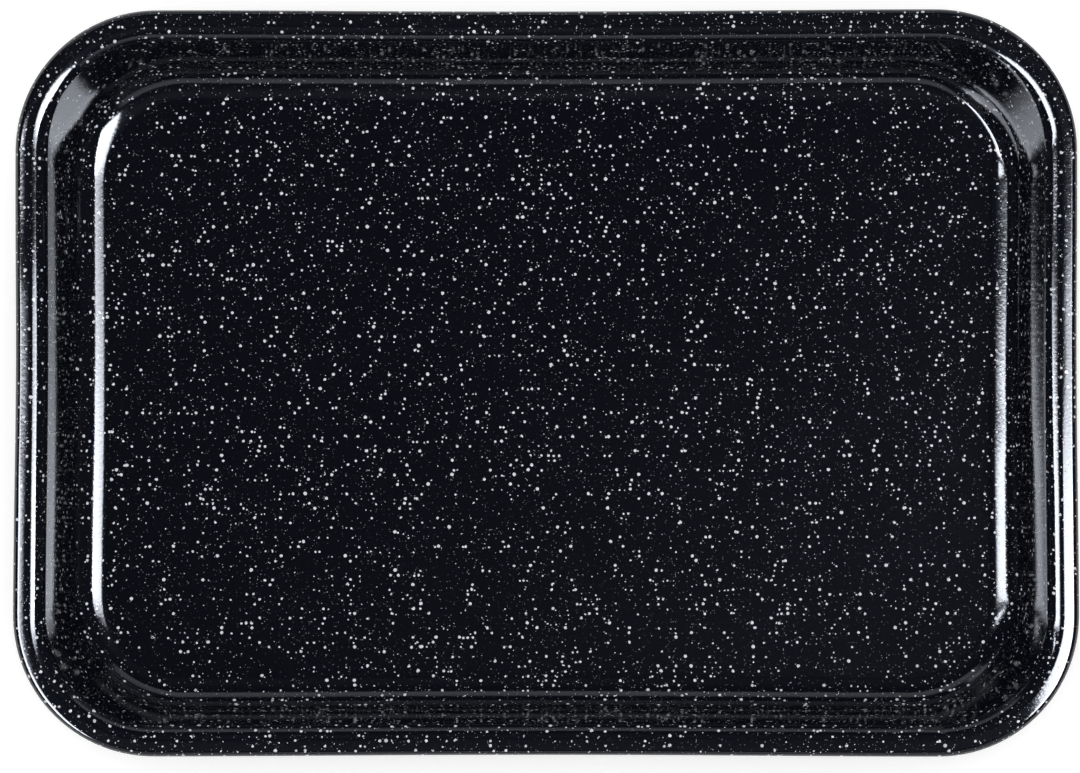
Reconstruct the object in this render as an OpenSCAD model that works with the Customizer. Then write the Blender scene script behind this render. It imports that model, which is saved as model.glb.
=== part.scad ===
// Oven dish pressed from one enamelled steel sheet: flat floor, leaning walls, narrow flange and a curled edge.

/* [Overall] */
// Length over the curled edge
dish_length = 370; // [250:1:450]
// Width over the curled edge
dish_width = 260; // [180:1:320]
// Height from the table to the top of the rim
dish_height = 47; // [36:1:70]
// Plan radius of the rim's outer corners
rim_corner_radius = 49; // [46:1:80]

/* [Sheet and wall] */
// Thickness of the steel with its enamel on both faces
sheet_thickness = 0.9; // [0.7:0.1:1.4]
// Lean of the walls, in degrees from upright
wall_lean = 8.5; // [4:0.5:16]
// Radius of the bend between floor and wall, on the inside face
floor_bend_radius = 11.5; // [6:0.5:16]
// Radius of the shoulder between wall and flange, on the upper face
shoulder_radius = 6; // [3:0.5:8]

/* [Rim] */
// Width of the straight part of the flange
flange_width = 2.7; // [1:0.1:6]
// Fall of the flange towards its outer edge, in degrees
flange_fall = 3; // [0:0.5:8]
// Outer radius of the curled edge
curl_radius = 2.6; // [2:0.1:4]
// How far the edge is curled round from the flange, in degrees
curl_sweep = 290; // [190:5:300]

/* [Hidden] */
$fn = 96;
enamel_colour = "#0b0c12";

// Widest gap allowed between a bend's true arc and the flats that stand for it
arc_error = 0.02;

// Turn of the sheet in the floor bend, and the radii of its other face in each bend
floor_turn = 90 - wall_lean;
floor_bend_outer_radius = floor_bend_radius + sheet_thickness;
shoulder_inner_radius = shoulder_radius - sheet_thickness;
curl_inner_radius = curl_radius - sheet_thickness;

// Centres of the curl and the shoulder, from the rim's outermost line inwards. The rim's top is the shoulder's.
curl_centre = [rim_corner_radius - curl_radius, dish_height - shoulder_radius
    + (shoulder_radius - curl_radius) * cos(flange_fall) - flange_width * sin(flange_fall)];
shoulder_centre = curl_centre
    - flange_width * [cos(flange_fall), -sin(flange_fall)]
    - (shoulder_radius - curl_radius) * [sin(flange_fall), cos(flange_fall)];

// The wall is straight between the shoulder and the floor bend, and the floor takes up what is left of the corner
floor_bend_height = floor_bend_outer_radius;
wall_rise = shoulder_centre[1] - floor_bend_height
    + (shoulder_inner_radius + floor_bend_outer_radius) * sin(wall_lean);
wall_run = wall_rise * tan(wall_lean);
floor_bend_centre = [shoulder_centre[0] - wall_run
    - (shoulder_inner_radius + floor_bend_outer_radius) * cos(wall_lean), floor_bend_height];

straight_length = dish_length - 2 * rim_corner_radius;
straight_width = dish_width - 2 * rim_corner_radius;

// Angle between an arc's points: an even share of a right angle that keeps the flats within arc_error
function arc_step(radius) = 90 / ceil(45 / acos(1 - arc_error / radius));

// Points of an arc: its two ends, and each whole step between them, so that its highest and outermost are met
function arc(centre, radius, start, end) =
    let (step = arc_step(radius) * sign(end - start))
    [for (at = concat(start, [for (i = [floor(start / step) + 1:1:ceil(end / step) - 1]) i * step], end))
        centre + radius * [cos(at), sin(at)]];

function reversed(points) = [for (i = [len(points) - 1:-1:0]) points[i]];

// One face of the sheet from the corner's centre out to the end of the curl, given its level and its bend radii
function sheet_face(level, floor_bend, shoulder, curl) = concat(
    [[0, level]],
    arc(floor_bend_centre, floor_bend, -90, -90 + floor_turn),
    arc(shoulder_centre, shoulder, 90 + floor_turn, 90 - flange_fall),
    arc(curl_centre, curl, 90 - flange_fall, 90 - flange_fall - curl_sweep)
);

upper_face = sheet_face(sheet_thickness, floor_bend_radius, shoulder_radius, curl_radius);
under_face = sheet_face(0, floor_bend_outer_radius, shoulder_inner_radius, curl_inner_radius);

// Section of the sheet, from the corner's centre outwards
module sheet_section() {
    polygon(concat(upper_face, reversed(under_face)));
}

// One rounded corner, between +X and +Y
module corner() {
    rotate_extrude(angle = 90) sheet_section();
}

// One straight side of the given length along Y, with its wall towards +X
module side(length) {
    rotate([90, 0, 0]) linear_extrude(height = length, center = true) sheet_section();
}

// Four corners, four sides and the floor between them make one sheet
module dish() {
    color(enamel_colour) {
        for (turn = [0:3]) {
            along = turn % 2 == 0 ? straight_length : straight_width;
            across = turn % 2 == 0 ? straight_width : straight_length;
            rotate(90 * turn) {
                translate([along / 2, across / 2, 0]) corner();
                translate([along / 2, 0, 0]) side(across);
            }
        }
        translate([-straight_length / 2, -straight_width / 2, 0])
            cube([straight_length, straight_width, sheet_thickness]);
    }
}

dish();
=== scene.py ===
from math import asin, atan2, pi, radians
import bpy
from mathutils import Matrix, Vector


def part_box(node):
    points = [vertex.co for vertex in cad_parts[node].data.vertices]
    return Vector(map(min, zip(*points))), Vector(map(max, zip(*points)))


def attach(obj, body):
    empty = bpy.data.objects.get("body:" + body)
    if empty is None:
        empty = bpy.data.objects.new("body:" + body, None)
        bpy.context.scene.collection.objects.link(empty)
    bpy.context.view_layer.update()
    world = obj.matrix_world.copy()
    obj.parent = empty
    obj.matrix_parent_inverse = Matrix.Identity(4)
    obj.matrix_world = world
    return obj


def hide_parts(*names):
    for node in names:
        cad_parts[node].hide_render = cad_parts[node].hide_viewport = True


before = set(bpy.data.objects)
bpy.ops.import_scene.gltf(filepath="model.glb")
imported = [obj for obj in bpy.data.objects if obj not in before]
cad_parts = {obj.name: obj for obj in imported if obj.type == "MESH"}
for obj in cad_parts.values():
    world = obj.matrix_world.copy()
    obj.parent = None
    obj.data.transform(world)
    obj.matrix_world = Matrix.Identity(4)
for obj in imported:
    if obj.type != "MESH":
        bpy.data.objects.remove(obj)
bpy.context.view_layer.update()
dishLow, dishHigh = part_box("dish")
dishSpan = [high - low for low, high in zip(dishLow, dishHigh)]
print("frame loaded, dish", [round(span, 4) for span in dishSpan])


# small helpers that add and wire nodes, for the shape, the finishes and the world alike

def addNode(tree, kind, inputs=None, **settings):
    node = tree.nodes.new(kind)
    for name, value in settings.items():
        setattr(node, name, value)
    for name, value in (inputs or {}).items():
        feed(tree, node.inputs[name], value)
    return node


def feed(tree, socket, value):
    if isinstance(value, bpy.types.NodeSocket):
        tree.links.new(value, socket)
    else:
        socket.default_value = value


def maths(tree, operation, *values):
    node = addNode(tree, "ShaderNodeMath", operation=operation)
    for socket, value in zip(node.inputs, values):
        feed(tree, socket, value)
    return node.outputs[0]


def ramp(tree, value, low, high, start=0.0, end=1.0, curve="SMOOTHSTEP"):
    node = addNode(tree, "ShaderNodeMapRange", interpolation_type=curve)
    for socket, given in zip(node.inputs, (value, low, high, start, end)):
        feed(tree, socket, given)
    return node.outputs[0]


def vector(tree, x, y, z):
    return addNode(tree, "ShaderNodeCombineXYZ", {"X": x, "Y": y, "Z": z}).outputs[0]


def noise(tree, place, scale, detail=2.0):
    return addNode(tree, "ShaderNodeTexNoise", {"Vector": place, "Scale": scale, "Detail": detail}).outputs


# enamel: near-black glaze with white grit and dust fired into it, lengths in metres

enamelLook = {
    "glaze": (0.0023, 0.0027, 0.0056, 1),
    "grit": (0.76, 0.77, 0.81, 1),
    "gritCell": 0.0017,  # a cell of this size holds one grain at most
    "gritShare": (0.80, 0.98),  # share of the cells that hold one, on the floor and on the rim
    "gritRadius": (0.00017, 0.00066),
    "gritLean": 2.8,  # the higher, the fewer of the large grains
    "gritTone": (0.7, 1.0),
    "clumpCell": 0.006,
    "clumpNoise": (0.36, 0.64),
    "clumps": (0.50, 1.40),  # how far the grit thins out and crowds together
    "dustCell": 0.0008,
    "dustShare": (0.85, 0.95),
    "dustRadius": (0.00005, 0.00017),
    "dustLean": 1.6,
    "dustTone": (0.4, 1.0),
    "rimHeights": (0.03, 0.044),  # between these the floor's shares give way to the rim's
    "softEdge": 0.00006,
    "raggedCell": 0.00045,
    "ragged": 0.0005,
    "hazeScale": 30.0,
    "hazeNoise": (0.35, 0.7),
    "roughness": (0.05, 0.09),
    "ior": 1.5,
    "peelCell": 0.0013,
    "peelHeight": 0.000019,
    "gritHeight": 0.000012,
}


def speckLayer(tree, place, kind, share):
    cell, lean = enamelLook[kind + "Cell"], enamelLook[kind + "Lean"]
    small, large = enamelLook[kind + "Radius"]
    cells = addNode(tree, "ShaderNodeTexVoronoi", {"Vector": place, "Scale": 1 / cell}).outputs
    chances = addNode(tree, "ShaderNodeSeparateColor", {"Color": cells["Color"]}).outputs
    radius = maths(tree, "MULTIPLY_ADD", maths(tree, "POWER", chances["Green"], lean), large - small, small)
    radius = maths(tree, "MULTIPLY", radius, maths(tree, "LESS_THAN", chances["Red"], share))
    depth = maths(tree, "MULTIPLY_ADD", cells["Distance"], -cell, radius)
    mask = ramp(tree, maths(tree, "DIVIDE", depth, enamelLook["softEdge"]), 0, 1, curve="LINEAR")
    tone = ramp(tree, chances["Blue"], 0, 1, *enamelLook[kind + "Tone"], curve="LINEAR")
    return maths(tree, "MULTIPLY", mask, tone)


def makeEnamel():
    look = enamelLook
    material = bpy.data.materials.new("speckledEnamel")
    material.use_nodes = True
    tree = material.node_tree
    shader = tree.nodes["Principled BSDF"]
    place = addNode(tree, "ShaderNodeTexCoord").outputs["Object"]

    # each grain's outline is pushed about, so that none is a disc
    shift = addNode(tree, "ShaderNodeVectorMath", operation="MULTIPLY_ADD")
    feed(tree, shift.inputs[0], noise(tree, place, 1 / look["raggedCell"])["Color"])
    feed(tree, shift.inputs[1], (look["ragged"],) * 3)
    feed(tree, shift.inputs[2], place)

    height = addNode(tree, "ShaderNodeSeparateXYZ", {"Vector": place}).outputs["Z"]
    gritShare = ramp(tree, height, *look["rimHeights"], *look["gritShare"])
    dustShare = ramp(tree, height, *look["rimHeights"], *look["dustShare"])
    gather = noise(tree, place, 1 / look["clumpCell"])["Fac"]
    gather = ramp(tree, gather, *look["clumpNoise"], *look["clumps"])
    gritShare = maths(tree, "MULTIPLY", gritShare, gather)
    grit = speckLayer(tree, shift.outputs[0], "grit", gritShare)
    dust = speckLayer(tree, place, "dust", dustShare)
    specks = maths(tree, "MAXIMUM", grit, dust)

    colour = addNode(tree, "ShaderNodeMix", data_type="RGBA")
    feed(tree, colour.inputs["Factor"], specks)
    feed(tree, colour.inputs[6], look["glaze"])
    feed(tree, colour.inputs[7], look["grit"])
    feed(tree, shader.inputs["Base Color"], colour.outputs[2])

    haze = noise(tree, place, look["hazeScale"], 4.0)["Fac"]
    feed(tree, shader.inputs["Roughness"], ramp(tree, haze, *look["hazeNoise"], *look["roughness"]))

    # orange peel of the fired glaze, with the grit a little proud of it
    peel = noise(tree, place, 1 / look["peelCell"])["Fac"]
    height = maths(tree, "MULTIPLY", peel, look["peelHeight"])
    height = maths(tree, "MULTIPLY_ADD", specks, look["gritHeight"], height)
    bump = addNode(tree, "ShaderNodeBump", {"Strength": 1.0, "Distance": 1.0, "Height": height})
    feed(tree, shader.inputs["Normal"], bump.outputs["Normal"])
    shader.inputs["IOR"].default_value = look["ior"]
    return material


# pressed sheet: one section swept round the rim, its two floor faces filled in

sheetSizes = {
    "Length": dishSpan[0],
    "Width": dishSpan[1],
    "Height": dishSpan[2],
    "Corner Radius": 0.049,
    "Sheet": 0.0009,
    "Wall Lean": radians(8.5),
    "Floor Bend": 0.0115,  # inside face
    "Shoulder": 0.006,  # upper face
    "Flange": 0.0027,
    "Flange Fall": radians(3),
    "Curl": 0.0026,
    "Curl Sweep": radians(290),
    "Floor Margin": 0.004,  # flat ring that the floor's filling meets
    "Side Bow": 0.0006,  # how far each side pulls in at its middle
    "Corner Ease": 0.008,  # how much wider the floor's corners turn than the rim's
    "Lift": radians(2.4),  # how much flatter the right flange lies
    "Droop": radians(5.6),  # extra fall of the right flange towards the front corner
    "Left Roll": 19.0,  # how fast each end's flange steepens outwards, per metre
    "Right Roll": 9.0,
    "Tightening": 0.0082,  # how much sharper the floor bends in the right back corner
    "Widening": 0.0024,  # how much wider it bends along both ends
    "Rim Sag": 0.0011,  # how far the rim sinks from the middle of each end to its corners
    "Rim Wave": 0.0002,
}
sheetDetail = {"rim": 420, "corner": 90, "floorBend": 34, "shoulder": 30, "curl": 40, "weld": 0.00001}


def sectionArc(tree, centre, radius, start, sweep, steps, order, onward):
    arc = addNode(tree, "GeometryNodeCurveArc", {
        "Resolution": steps, "Radius": radius, "Start Angle": start, "Sweep Angle": sweep})
    moved = addNode(tree, "GeometryNodeTransform", {
        "Geometry": arc.outputs["Curve"], "Translation": vector(tree, centre[0], centre[1], 0.0)})
    factor = addNode(tree, "GeometryNodeSplineParameter").outputs["Factor"]
    return ordered(tree, moved.outputs[0], maths(tree, "MULTIPLY_ADD", factor, onward, order), True)


def ordered(tree, geometry, order, isCurve=False):
    marked = addNode(tree, "GeometryNodeStoreNamedAttribute", {
        "Geometry": geometry, "Name": "order", "Value": order})
    if not isCurve:
        return marked.outputs[0]
    points = addNode(tree, "GeometryNodeCurveToPoints", {"Curve": marked.outputs[0]}, mode="EVALUATED")
    return points.outputs["Points"]


def buildSection(tree, size):
    # x runs outwards and ends at 0 on the rim's outermost line, y runs up
    rise, lean, fall = size["Height"], size["Wall Lean"], size["Flange Fall"]
    sheet, bend, shoulder, curl = (size[name] for name in ("Sheet", "Floor Bend", "Shoulder", "Curl"))
    sinFall, cosFall = maths(tree, "SINE", fall), maths(tree, "COSINE", fall)
    gap = maths(tree, "SUBTRACT", shoulder, curl)
    both = maths(tree, "ADD", shoulder, bend)

    shoulderX = maths(tree, "MULTIPLY_ADD", size["Flange"], cosFall, curl)
    shoulderX = maths(tree, "MULTIPLY_ADD", gap, sinFall, shoulderX)  # inwards from the rim
    shoulderY = maths(tree, "SUBTRACT", rise, shoulder)
    curlY = maths(tree, "MULTIPLY_ADD", gap, cosFall, shoulderY)
    curlY = maths(tree, "SUBTRACT", curlY, maths(tree, "MULTIPLY", size["Flange"], sinFall))
    bendY = maths(tree, "ADD", bend, sheet)
    wallRise = maths(tree, "MULTIPLY_ADD", both, maths(tree, "SINE", lean),
                     maths(tree, "SUBTRACT", shoulderY, bendY))
    bendX = maths(tree, "MULTIPLY_ADD", wallRise, maths(tree, "TANGENT", lean), shoulderX)
    bendX = maths(tree, "MULTIPLY_ADD", both, maths(tree, "COSINE", lean), bendX)

    bendCentre = (maths(tree, "MULTIPLY", bendX, -1.0), bendY)
    shoulderCentre = (maths(tree, "MULTIPLY", shoulderX, -1.0), shoulderY)
    curlCentre = (maths(tree, "MULTIPLY", curl, -1.0), curlY)
    bendTurn = maths(tree, "SUBTRACT", pi / 2, lean)
    shoulderStart = maths(tree, "ADD", pi / 2, bendTurn)
    curlStart = maths(tree, "SUBTRACT", pi / 2, fall)
    arcs = (
        (bendCentre, bend, -pi / 2, bendTurn, sheetDetail["floorBend"], 1),
        (shoulderCentre, shoulder, shoulderStart, maths(tree, "SUBTRACT", curlStart, shoulderStart),
         sheetDetail["shoulder"], -1),
        (curlCentre, curl, curlStart, maths(tree, "MULTIPLY", size["Curl Sweep"], -1.0),
         sheetDetail["curl"], -1),
    )

    # numbered in order round the section: out along the upper face, then back along the under one
    joined = addNode(tree, "GeometryNodeJoinGeometry")
    ringX = maths(tree, "SUBTRACT", bendCentre[0], size["Floor Margin"])
    for level, order in ((sheet, -1.0), (0.0, 12.0)):
        point = addNode(tree, "GeometryNodePoints", {"Position": vector(tree, ringX, level, 0.0)})
        feed(tree, joined.inputs[0], ordered(tree, point.outputs[0], order))
    for index, (centre, radius, start, sweep, steps, outwards) in enumerate(arcs):
        upper = sectionArc(tree, centre, radius, start, sweep, steps, 2.0 * index, 1.0)
        feed(tree, joined.inputs[0], upper)
        radius = maths(tree, "MULTIPLY_ADD", sheet, float(outwards), radius)
        fewer = steps * 2 // 3  # the under face is seen less
        under = sectionArc(tree, centre, radius, start, sweep, fewer, 11.0 - 2 * index, -1.0)
        feed(tree, joined.inputs[0], under)
    order = addNode(tree, "GeometryNodeInputNamedAttribute", {"Name": "order"}).outputs["Attribute"]
    section = addNode(tree, "GeometryNodePointsToCurves", {"Points": joined.outputs[0], "Weight": order})
    # the sweep counts up as down, so the section goes in upside down
    turned = addNode(tree, "GeometryNodeTransform", {
        "Geometry": section.outputs[0], "Scale": (1, -1, 1)})
    return turned.outputs[0], (shoulderX, shoulderY, bendX, bendY)


def buildRimPath(tree, size):
    outline = addNode(tree, "GeometryNodeCurvePrimitiveQuadrilateral", {
        "Width": size["Length"], "Height": size["Width"]})
    rounded = addNode(tree, "GeometryNodeFilletCurve", {
        "Curve": outline.outputs[0], "Count": sheetDetail["corner"],
        "Radius": size["Corner Radius"]}, mode="POLY")
    spaced = addNode(tree, "GeometryNodeResampleCurve", {
        "Curve": rounded.outputs[0], "Count": sheetDetail["rim"]})
    upright = addNode(tree, "GeometryNodeSetCurveNormal", {"Curve": spaced.outputs[0]}, mode="Z_UP")
    return upright.outputs[0]


def fillFloor(tree, shell, size, level, above):
    # one face across the ring of open edges nearest the given level
    edges = addNode(tree, "GeometryNodeInputMeshEdgeNeighbors").outputs[0]
    position = addNode(tree, "GeometryNodeInputPosition").outputs[0]
    height = addNode(tree, "ShaderNodeSeparateXYZ", {"Vector": position}).outputs["Z"]
    half = maths(tree, "MULTIPLY", size["Sheet"], 0.5)
    isOpen = maths(tree, "COMPARE", edges, 1.0, 0.1)
    isHere = maths(tree, "GREATER_THAN" if above else "LESS_THAN", height, half)
    ring = addNode(tree, "GeometryNodeMeshToCurve", {
        "Mesh": shell, "Selection": maths(tree, "MULTIPLY", isOpen, isHere)})
    face = addNode(tree, "GeometryNodeFillCurve", {"Curve": ring.outputs[0]}, mode="NGONS")
    placed = addNode(tree, "GeometryNodeTransform", {
        "Geometry": face.outputs[0], "Translation": vector(tree, 0.0, 0.0, level)})
    if above:
        return placed.outputs[0]
    return addNode(tree, "GeometryNodeFlipFaces", {"Mesh": placed.outputs[0]}).outputs[0]


# where the pressing is uneven: each pair gives where a change sets in and where it is full
unevenness = {
    "end": (0.11, 0.17),  # this and the next seven are metres from the middle
    "droopFront": (0.01, -0.07),
    "rollBack": (-0.045, 0.005),
    "sagEnds": (0.03, 0.095),
    "firmRight": (-0.05, 0.10),
    "firmBack": (0.0, 0.03),
    "tightBack": (0.0, 0.05),
    "wideFront": (0.0, -0.03),
    "rollLevel": (1.0, 1.75),  # of the left roll, at the front and at the back
    "firmSag": 0.65,  # what is left of the sag in the right back corner
    "wideLevel": 0.7,  # of the widening, at the front of the right end
    "tightTurn": (0.02, 0.38),  # share of a corner's turn, from the end towards the side
    "tightStop": (1.0, 0.8),
    "wideTurn": (0.0, 0.7),
    "bendAngle": (radians(30), radians(80)),  # up the floor bend, from full to nothing
    "bendInner": -0.0005,
    "bendUpper": 0.95,
    "waveScale": 14.0,
    "waveHeight": (0.012, 0.04),
}


def bowed(tree, bow, value, half, along, straight):
    share = maths(tree, "DIVIDE", along, straight)
    share = maths(tree, "MINIMUM", maths(tree, "MULTIPLY", share, share), 1.0)
    share = maths(tree, "SUBTRACT", 1.0, share)
    share = maths(tree, "MULTIPLY", share, share)
    pull = maths(tree, "DIVIDE", maths(tree, "MULTIPLY", bow, share), half)
    return maths(tree, "MULTIPLY", value, maths(tree, "SUBTRACT", 1.0, pull))


def rimDrop(tree, size, place, above, beyond, rightEnd, leftEnd):
    # the end flanges roll off outwards, the right one also twists, and the rim sags and waves
    x, y, z = place
    uneven = unevenness
    slope = maths(tree, "MULTIPLY", size["Droop"], ramp(tree, y, *uneven["droopFront"]))
    slope = maths(tree, "MULTIPLY", maths(tree, "SUBTRACT", slope, size["Lift"]), rightEnd)
    leftRoll = ramp(tree, y, *uneven["rollBack"], *uneven["rollLevel"])
    leftRoll = maths(tree, "MULTIPLY", size["Left Roll"], leftRoll)
    roll = maths(tree, "MULTIPLY", rightEnd, size["Right Roll"])
    roll = maths(tree, "MULTIPLY_ADD", leftEnd, leftRoll, roll)
    drop = maths(tree, "MULTIPLY", maths(tree, "MULTIPLY_ADD", roll, beyond, slope), beyond)

    sag = maths(tree, "MULTIPLY", ramp(tree, maths(tree, "ABSOLUTE", y), *uneven["sagEnds"]), above)
    firm = maths(tree, "MULTIPLY", ramp(tree, x, *uneven["firmRight"]), ramp(tree, y, *uneven["firmBack"]))
    sag = maths(tree, "MULTIPLY", sag, ramp(tree, firm, 0.0, 1.0, 1.0, uneven["firmSag"]))
    drop = maths(tree, "MULTIPLY_ADD", sag, size["Rim Sag"], drop)

    wave = noise(tree, vector(tree, x, y, z), uneven["waveScale"], 1.0)["Fac"]
    wave = maths(tree, "MULTIPLY", wave, size["Rim Wave"])
    wave = maths(tree, "MULTIPLY", wave, ramp(tree, z, *uneven["waveHeight"]))
    return maths(tree, "ADD", drop, wave)


def bendChange(tree, size, place, along, rise, turn, bendTop, rightEnd, leftEnd):
    # how much sharper the floor bends here, less how much wider, fading out up the bend
    y, z = place[1:]
    uneven = unevenness
    angle = maths(tree, "ARCTAN2", maths(tree, "MAXIMUM", along, 0.0), rise)
    isBend = maths(tree, "MULTIPLY", maths(tree, "GREATER_THAN", along, uneven["bendInner"]),
                   maths(tree, "LESS_THAN", z, maths(tree, "MULTIPLY", bendTop, uneven["bendUpper"])))
    tight = maths(tree, "MULTIPLY", ramp(tree, turn, *uneven["tightTurn"]),
                  ramp(tree, turn, *uneven["tightStop"]))
    backEnd = maths(tree, "MULTIPLY", rightEnd, ramp(tree, y, *uneven["tightBack"]))
    tight = maths(tree, "MULTIPLY", maths(tree, "MULTIPLY", tight, backEnd), size["Tightening"])
    frontEnd = ramp(tree, y, *uneven["wideFront"], 0.0, uneven["wideLevel"])
    wide = maths(tree, "MULTIPLY_ADD", rightEnd, frontEnd, leftEnd)
    wide = maths(tree, "MULTIPLY", wide, ramp(tree, turn, *uneven["wideTurn"], 1.0, 0.0))
    change = maths(tree, "SUBTRACT", tight, maths(tree, "MULTIPLY", wide, size["Widening"]))
    change = maths(tree, "MULTIPLY", change, isBend)
    change = maths(tree, "MULTIPLY", change, ramp(tree, angle, *uneven["bendAngle"], 1.0, 0.0))
    return change, angle


def easeSides(tree, shell, size, levels):
    # sides bow in, the floor's corners turn wide, the floor bend varies, and the rim rolls off and sags
    crest, crestHeight, bendX, bendTop = levels
    position = addNode(tree, "GeometryNodeInputPosition").outputs[0]
    parts = addNode(tree, "ShaderNodeSeparateXYZ", {"Vector": position}).outputs
    place = [parts[name] for name in "XYZ"]
    x, y, z = place
    halves = [maths(tree, "MULTIPLY", size[name], 0.5) for name in ("Length", "Width")]
    straights = [maths(tree, "SUBTRACT", half, size["Corner Radius"]) for half in halves]
    rightEnd = ramp(tree, x, *unevenness["end"])
    leftEnd = ramp(tree, x, *(-edge for edge in unevenness["end"]))

    # distance of a point from its corner's centre, or from the line between two of them
    reach = [maths(tree, "SUBTRACT", maths(tree, "ABSOLUTE", value), straight)
             for value, straight in zip((x, y), straights)]
    reach = [maths(tree, "MAXIMUM", value, 0.0) for value in reach]
    out = addNode(tree, "ShaderNodeVectorMath", {"Vector": vector(tree, *reach, 0.0)}, operation="LENGTH")
    out = out.outputs["Value"]
    inwards = maths(tree, "SUBTRACT", size["Corner Radius"], out)

    above = ramp(tree, z, bendTop, crestHeight, curve="LINEAR")  # 0 on the floor, 1 on the rim
    beyond = maths(tree, "MAXIMUM", maths(tree, "SUBTRACT", crest, inwards), 0.0)
    drop = rimDrop(tree, size, place, above, beyond, rightEnd, leftEnd)

    # where the floor bends more sharply, the bend's middle and its upper end stay in place
    along, rise = maths(tree, "SUBTRACT", bendX, inwards), maths(tree, "SUBTRACT", bendTop, z)
    turn = maths(tree, "DIVIDE", reach[1], out)
    change, angle = bendChange(tree, size, place, along, rise, turn, bendTop, rightEnd, leftEnd)
    outwards = maths(tree, "SUBTRACT", 0.5, maths(tree, "SINE", angle))
    outwards = maths(tree, "DIVIDE", maths(tree, "MULTIPLY", outwards, change), out)
    lower = maths(tree, "SUBTRACT", 1.0, maths(tree, "COSINE", angle))
    lower = maths(tree, "MULTIPLY", lower, change)
    newZ = maths(tree, "SUBTRACT", maths(tree, "SUBTRACT", z, drop), lower)

    ease = maths(tree, "MULTIPLY", size["Corner Ease"], maths(tree, "SUBTRACT", 1.0, above))
    moved = []
    for own, other in ((0, 1), (1, 0)):
        value, part = place[own], reach[own]
        short = maths(tree, "SUBTRACT", 1.0, maths(tree, "DIVIDE", part, out))
        short = maths(tree, "MULTIPLY", short, ease)
        side = maths(tree, "DIVIDE", value, straights[own])
        side = maths(tree, "MAXIMUM", maths(tree, "MINIMUM", side, 1.0), -1.0)
        step = maths(tree, "MULTIPLY", part, outwards)
        step = maths(tree, "MULTIPLY", step, maths(tree, "SIGN", value))
        shift = maths(tree, "SUBTRACT", maths(tree, "MULTIPLY", short, side), step)
        pulled = bowed(tree, size["Side Bow"], value, halves[own], place[other], straights[other])
        moved.append(maths(tree, "SUBTRACT", pulled, shift))
    eased = addNode(tree, "GeometryNodeSetPosition", {
        "Geometry": shell, "Position": vector(tree, moved[0], moved[1], newZ)})
    return eased.outputs[0]


def buildSheetTree():
    tree = bpy.data.node_groups.new("pressedSheet", "GeometryNodeTree")
    tree.interface.new_socket("Geometry", in_out="INPUT", socket_type="NodeSocketGeometry")
    tree.interface.new_socket("Geometry", in_out="OUTPUT", socket_type="NodeSocketGeometry")
    for name, value in sheetSizes.items():
        socket = tree.interface.new_socket(name, in_out="INPUT", socket_type="NodeSocketFloat")
        socket.default_value = value
    tree.interface.new_socket("Enamel", in_out="INPUT", socket_type="NodeSocketMaterial")
    size = addNode(tree, "NodeGroupInput").outputs

    section, levels = buildSection(tree, size)
    swept = addNode(tree, "GeometryNodeCurveToMesh", {
        "Curve": buildRimPath(tree, size), "Profile Curve": section}).outputs[0]
    eased = easeSides(tree, swept, size, levels)
    joined = addNode(tree, "GeometryNodeJoinGeometry")
    feed(tree, joined.inputs[0], eased)
    feed(tree, joined.inputs[0], fillFloor(tree, eased, size, size["Sheet"], True))
    feed(tree, joined.inputs[0], fillFloor(tree, eased, size, 0.0, False))
    welded = addNode(tree, "GeometryNodeMergeByDistance", {
        "Geometry": joined.outputs[0], "Distance": sheetDetail["weld"]})
    smooth = addNode(tree, "GeometryNodeSetShadeSmooth", {"Geometry": welded.outputs[0]})
    real = addNode(tree, "GeometryNodeRealizeInstances", {"Geometry": smooth.outputs[0]})
    coated = addNode(tree, "GeometryNodeSetMaterial", {
        "Geometry": real.outputs[0], "Material": size["Enamel"]})
    feed(tree, addNode(tree, "NodeGroupOutput").inputs[0], coated.outputs[0])
    return tree


def makeDish(enamel):
    tree = buildSheetTree()
    dish = bpy.data.objects.new("pressedDish", bpy.data.meshes.new("pressedDish"))
    bpy.context.scene.collection.objects.link(dish)
    modifier = dish.modifiers.new("pressedSheet", "NODES")
    modifier.node_group = tree
    given = dict(sheetSizes, Enamel=enamel)
    for socket in tree.interface.items_tree:
        if socket.in_out == "INPUT" and socket.name in given:
            modifier[socket.identifier] = given[socket.name]
    graph = bpy.context.evaluated_depsgraph_get()
    mesh = bpy.data.meshes.new_from_object(dish.evaluated_get(graph), depsgraph=graph)
    dish.modifiers.remove(modifier)
    dish.data = mesh
    print("dish pressed:", len(mesh.vertices), "points,", len(mesh.polygons), "faces")
    return dish


dish = makeDish(makeEnamel())
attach(dish, "root")
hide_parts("dish")


# studio: pale floor, a soft lamp overhead, and three window lights that show only as gloss

studio = {
    "floorSize": 40.0,
    "floorColour": (0.86, 0.86, 0.86, 1),
    "floorLift": 0.42,  # own light of the floor in view, so that it reads as white
    "softSide": 1.6,
    "softHeight": 2.2,
    "softPower": 27.0,
    "fill": 0.50,
    "tint": (0.93, 0.985, 1.09, 1),
    "ceiling": (0.048, 0.115),  # gloss seen overhead, from back left to front right
    "ceilingSlant": (-0.09, 0.07),
    "ceilingEdge": 0.05,  # what the ceiling gains away from straight overhead
    "edgeLean": (0.10, 0.25),
    "wallDim": 0.4,  # how dim it gets towards the walls of the room
    "wallLean": (0.40, 0.75),
    "lowGlow": 0.9,  # glow low down, in front and behind
    "lowTop": (0.54, 0.46),
    "lowFoot": (0.0, 0.40, 0.15, 1.0),
    "lowEnds": (0.0, 0.2),
    "fadeBack": (0.085, 0.005),  # steps back at which a window light is down to its share, and whole
    "leanOut": (0.15, 0.75),  # steps out at which it has its first and its second level
}

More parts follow.
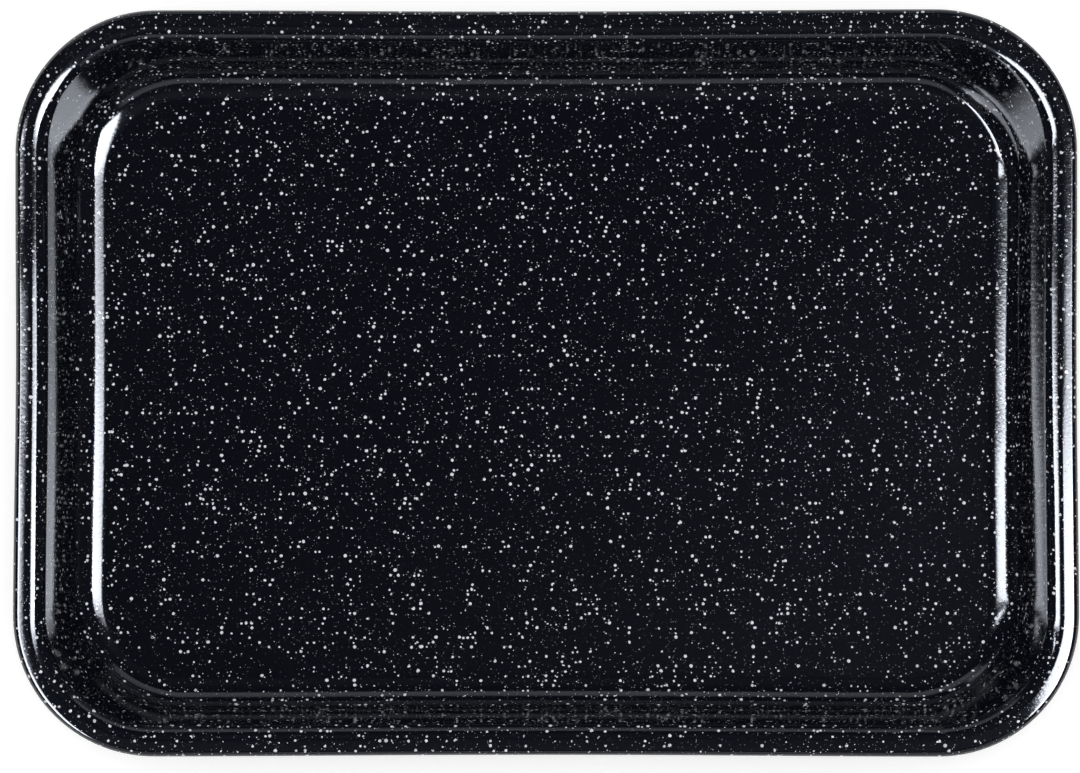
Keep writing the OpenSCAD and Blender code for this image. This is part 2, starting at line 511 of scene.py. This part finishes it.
# edges of the window lights, in steps sideways for one step up: the weights of rightwards,
# backwards and forwards in a distance, then where the light starts and where it is full
windowEdges = ("inner", "outer", "back", "front")
windowLights = {
    "right": {
        "glow": 30.0,
        "fade": 0.46,  # share of the light that is left at its back edge
        "lean": (0.75, 1.25),  # its level near the middle and far out
        "inner": (1.0, 0.0, -0.77, 0.13, 0.23),
        "outer": (-1.0, -0.93, 0.93, -0.80, -0.775),
        "back": (0.12, -1.0, 1.0, -0.095, -0.035),
        "front": (0.0, 1.0, -1.0, -0.95, -0.65),
    },
    "left": {
        "glow": 22.0,
        "fade": 1.0,
        "lean": (0.75, 1.2),
        "inner": (-1.0, 0.0, -0.45, 0.33, 0.54),
        "outer": (1.0, 4.0, 0.5, -1.28, -1.12),
        "back": (-0.09, -1.0, 1.0, -0.035, 0.045),
        "front": (0.0, 1.0, -1.0, -3.20, -2.60),
    },
    "upperLeft": {
        "glow": 24.0,
        "fade": 1.0,
        "lean": (0.8, 1.2),
        "inner": (-1.0, 0.0, 0.0, 0.50, 0.75),
        "outer": (1.0, 0.0, 0.0, -1.55, -1.30),
        "back": (0.0, -1.0, 1.0, -0.25, -0.20),
        "front": (0.07, 1.0, -1.0, 0.105, 0.125),
    },
}


def makeFloor():
    half = studio["floorSize"] / 2
    mesh = bpy.data.meshes.new("studioFloor")
    corners = [(-half, -half, 0), (half, -half, 0), (half, half, 0), (-half, half, 0)]
    mesh.from_pydata(corners, [], [(0, 1, 2, 3)])
    floor = bpy.data.objects.new("studioFloor", mesh)
    bpy.context.scene.collection.objects.link(floor)
    material = bpy.data.materials.new("paleFloor")
    material.use_nodes = True
    tree = material.node_tree
    shader = tree.nodes["Principled BSDF"]
    shader.inputs["Base Color"].default_value = studio["floorColour"]
    shader.inputs["Roughness"].default_value = 1.0
    shader.inputs["Specular IOR Level"].default_value = 0.0
    shader.inputs["Emission Color"].default_value = (1, 1, 1, 1)
    rays = addNode(tree, "ShaderNodeLightPath").outputs
    seen = maths(tree, "ADD", rays["Is Camera Ray"], rays["Is Glossy Ray"])
    feed(tree, shader.inputs["Emission Strength"], maths(tree, "MULTIPLY", seen, studio["floorLift"]))
    mesh.materials.append(material)


def makeSoftLamp():
    data = bpy.data.lights.new("softLamp", "AREA")
    data.size = studio["softSide"]
    data.energy = studio["softPower"]
    lamp = bpy.data.objects.new("softLamp", data)
    lamp.location = (0, 0, studio["softHeight"])
    lamp.visible_camera = False
    lamp.visible_glossy = False
    bpy.context.scene.collection.objects.link(lamp)


def windowGlow(tree, window, right, back):
    glow = maths(tree, "MULTIPLY", ramp(tree, back, *studio["fadeBack"], window["fade"], 1.0), window["glow"])
    level = ramp(tree, maths(tree, "ABSOLUTE", right), *studio["leanOut"], *window["lean"])
    glow = maths(tree, "MULTIPLY", level, glow)
    behind = maths(tree, "MAXIMUM", back, 0.0)
    before = maths(tree, "SUBTRACT", behind, back)
    for edge in windowEdges:
        *shares, start, full = window[edge]
        distance = 0.0
        for part, share in zip((right, behind, before), shares):
            distance = maths(tree, "MULTIPLY_ADD", part, share, distance)
        glow = maths(tree, "MULTIPLY", ramp(tree, distance, start, full), glow)
    return glow


def glossLevel(tree):
    # what gloss sees: a dim ceiling, the window lights, and a glow low down in front and behind
    direction = addNode(tree, "ShaderNodeTexCoord").outputs["Generated"]
    parts = addNode(tree, "ShaderNodeSeparateXYZ", {"Vector": direction}).outputs
    x, y, z = (parts[name] for name in "XYZ")
    rise = maths(tree, "MAXIMUM", z, 0.02)  # keeps the steps sideways finite at the horizon
    right, back = maths(tree, "DIVIDE", x, rise), maths(tree, "DIVIDE", y, rise)
    lean = maths(tree, "SQRT", maths(tree, "SUBTRACT", 1.0, maths(tree, "MULTIPLY", z, z)))

    gloss = ramp(tree, maths(tree, "SUBTRACT", x, y), *studio["ceilingSlant"], *studio["ceiling"])
    gloss = maths(tree, "ADD", gloss, ramp(tree, lean, *studio["edgeLean"], 0.0, studio["ceilingEdge"]))
    gloss = maths(tree, "MULTIPLY", gloss, ramp(tree, lean, *studio["wallLean"], 1.0, studio["wallDim"]))
    for window in windowLights.values():
        gloss = maths(tree, "ADD", gloss, windowGlow(tree, window, right, back))

    low = maths(tree, "MULTIPLY", ramp(tree, z, *studio["lowTop"]), ramp(tree, z, *studio["lowFoot"]))
    ends = maths(tree, "SUBTRACT", maths(tree, "ABSOLUTE", y), maths(tree, "ABSOLUTE", x))
    low = maths(tree, "MULTIPLY", low, ramp(tree, ends, *studio["lowEnds"]))
    return maths(tree, "MULTIPLY_ADD", low, studio["lowGlow"], gloss)


def makeWorld():
    world = bpy.data.worlds.new("studioWorld")
    bpy.context.scene.world = world
    world.use_nodes = True
    tree = world.node_tree
    background = tree.nodes["Background"]

    # the fill lights the object, the gloss level is for reflections, and the camera sees white
    rays = addNode(tree, "ShaderNodeLightPath").outputs
    level = addNode(tree, "ShaderNodeMix", {"Factor": rays["Is Glossy Ray"]})
    feed(tree, level.inputs[2], studio["fill"])
    feed(tree, level.inputs[3], glossLevel(tree))
    white = addNode(tree, "ShaderNodeMix", {"Factor": rays["Is Camera Ray"]})
    feed(tree, white.inputs[2], level.outputs[0])
    feed(tree, white.inputs[3], 1.0)
    feed(tree, background.inputs["Strength"], white.outputs[0])
    tint = addNode(tree, "ShaderNodeMix", {"Factor": rays["Is Glossy Ray"]}, data_type="RGBA")
    feed(tree, tint.inputs[6], (1, 1, 1, 1))
    feed(tree, tint.inputs[7], studio["tint"])
    feed(tree, background.inputs["Color"], tint.outputs[2])


camera = {
    "place": (0.016, -0.086, 1.8),
    "aim": (0.0, 0.0, 0.0),
    "lens": 168.67,
    "shift": (-0.0062, 0.0012),
}


def makeCamera():
    data = bpy.data.cameras.new("photoCamera")
    data.lens = camera["lens"]
    data.shift_x, data.shift_y = camera["shift"]
    data.clip_end = 100
    eye = bpy.data.objects.new("photoCamera", data)
    eye.location = camera["place"]
    view = (Vector(camera["aim"]) - Vector(camera["place"])).normalized()
    eye.rotation_euler = (asin(view.y), atan2(-view.x, -view.z), 0)
    bpy.context.scene.collection.objects.link(eye)
    bpy.context.scene.camera = eye


makeFloor()
makeSoftLamp()
makeWorld()
makeCamera()
bpy.context.scene.view_settings.view_transform = "Standard"
print("studio ready")
